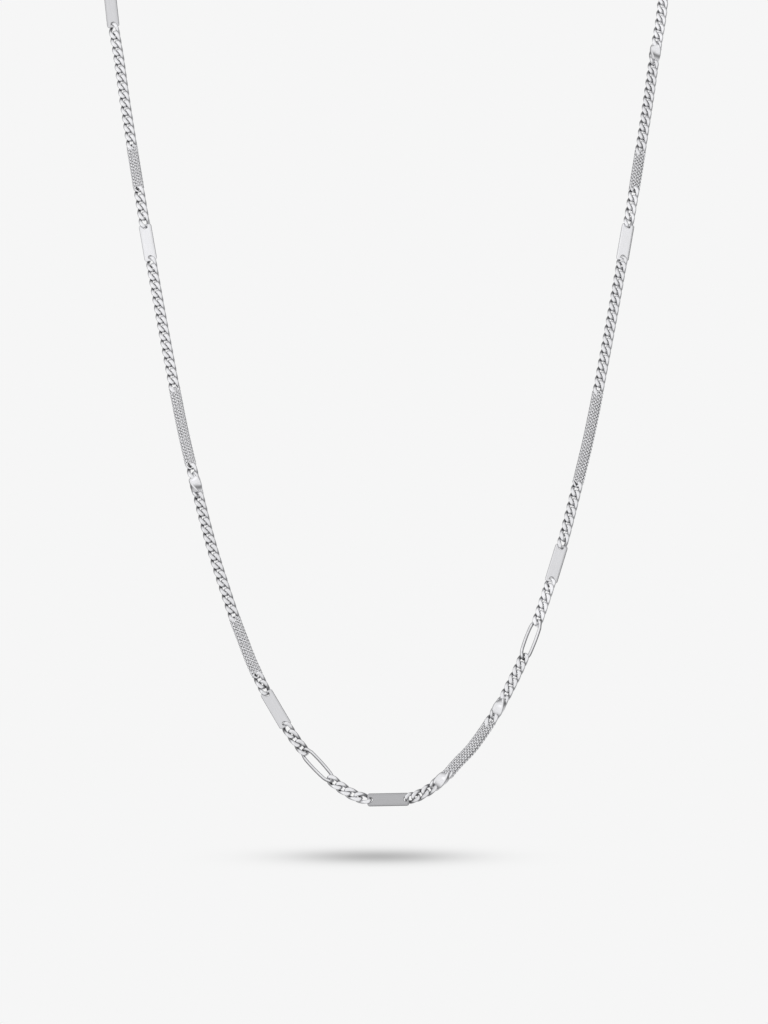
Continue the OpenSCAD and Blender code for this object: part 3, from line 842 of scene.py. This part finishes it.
# The glow of the surroundings goes from the side away from the front direction, 0, to that direction, 1
studio = {"backdrop": 0.922, "floor": -229, "floorRadius": 1.5, "floorSides": 96,
          # The floor's painted shadow: how dark, its size and its middle, in mm; then where the floor fades
          # out, in m
          "shade": 0.47, "shadeSize": [15.5, 24], "shadeAt": [-2.1, -79.5], "fadeFrom": 0.7, "fadeTo": 1.4,
          "front": (-0.4, -0.85, 0.34),
          "glow": [(0.0, 1.0), (0.13, 0.85), (0.28, 0.4), (0.4, 0.25), (0.5, 0.33), (0.6, 0.55),
                   (0.72, 0.85), (0.82, 1.02), (1.0, 1.05)],
          # Each light: place, size and power
          "lights": {"keyLeft": [(-1.1, -1.3, 0.9), (0.9, 0.9), 0.5],
                     "keyRight": [(1.3, -1.0, 0.7), (0.7, 1.0), 0.4]},
          "aim": (0, -0.06, -0.1),
          "cameraAt": (-0.57, -1504, -153.5), "lens": 228.5, "sensor": 36, "clip": (0.01, 50)}


def makeFloor():
    made, wire = newMaterial("paleFloor")
    place = wire.node("ShaderNodeTexCoord", None, None, "Object").splitXYZ()
    across = place.other("Y")
    # A soft shadow painted on the floor under the chain's lowest point
    x = (place - studio["shadeAt"][0] * mm) / (studio["shadeSize"][0] * mm)
    y = (across - studio["shadeAt"][1] * mm) / (studio["shadeSize"][1] * mm)
    shade = place.calc("POWER", 2.0, -(x * x + y * y)) * studio["shade"]
    light = wire.node("ShaderNodeEmission", None, {
        "Color": greyOf(wire, 1 - shade), "Strength": studio["backdrop"]})
    away = place.calc("SQRT", place * place + across * across)
    fade = between(wire, away, studio["fadeFrom"], studio["fadeTo"], 0.0)
    clear = wire.node("ShaderNodeBsdfTransparent")
    mixed = wire.node("ShaderNodeMixShader", None, {0: fade, 1: light, 2: clear})
    wire.node("ShaderNodeOutputMaterial", None, {"Surface": mixed})
    work = bmesh.new()
    bmesh.ops.create_circle(work, cap_ends=True, segments=studio["floorSides"], radius=studio["floorRadius"])
    floorMesh = bpy.data.meshes.new("floor")
    work.to_mesh(floorMesh)
    work.free()
    floorMesh.transform(Matrix.Translation((0, 0, studio["floor"] * mm)))
    floorMesh.materials.append(made)
    floor = bpy.data.objects.new("floor", floorMesh)
    bpy.context.scene.collection.objects.link(floor)
    floor.visible_glossy = False
    floor.visible_diffuse = False


def makeWorld():
    world = bpy.data.worlds.new("studio")
    world.use_nodes = True
    world.node_tree.nodes.clear()
    wire = Wire(world.node_tree)
    way = wire.node("ShaderNodeTexCoord", None, None, "Generated")
    ahead = wire.vector("DOT_PRODUCT", way, studio["front"], out="Value")
    glow = wire.node("ShaderNodeValToRGB", {"stops": studio["glow"]}, {0: ahead * 0.5 + 0.5})
    around = wire.node("ShaderNodeBackground", None, {0: glow, 1: 1.0})
    plain = wire.node("ShaderNodeBackground", None, {0: (1, 1, 1, 1), 1: studio["backdrop"]})
    seen = wire.node("ShaderNodeLightPath", None, None, "Is Camera Ray")
    mixed = wire.node("ShaderNodeMixShader", None, {0: seen, 1: around, 2: plain})
    wire.node("ShaderNodeOutputWorld", None, {"Surface": mixed})
    bpy.context.scene.world = world


def softLight(name, place, size, power):
    light = bpy.data.lights.new(name, "AREA")
    light.shape, light.size, light.size_y, light.energy = "RECTANGLE", size[0], size[1], power
    made = bpy.data.objects.new(name, light)
    bpy.context.scene.collection.objects.link(made)
    made.location = place
    made.rotation_mode = "QUATERNION"
    made.rotation_quaternion = (Vector(studio["aim"]) - Vector(place)).to_track_quat("-Z", "Y")


makeFloor()
makeWorld()
for name, light in studio["lights"].items():
    softLight(name, *light)
scene = bpy.context.scene
scene.view_settings.view_transform = "Standard"
lens = bpy.data.cameras.new("camera")
lens.lens, lens.sensor_width = studio["lens"], studio["sensor"]
lens.clip_start, lens.clip_end = studio["clip"]
camera = bpy.data.objects.new("camera", lens)
camera.location = [c * mm for c in studio["cameraAt"]]
camera.rotation_euler = (math.pi / 2, 0, 0)
scene.collection.objects.link(camera)
scene.camera = camera
print("stage, light and camera made")
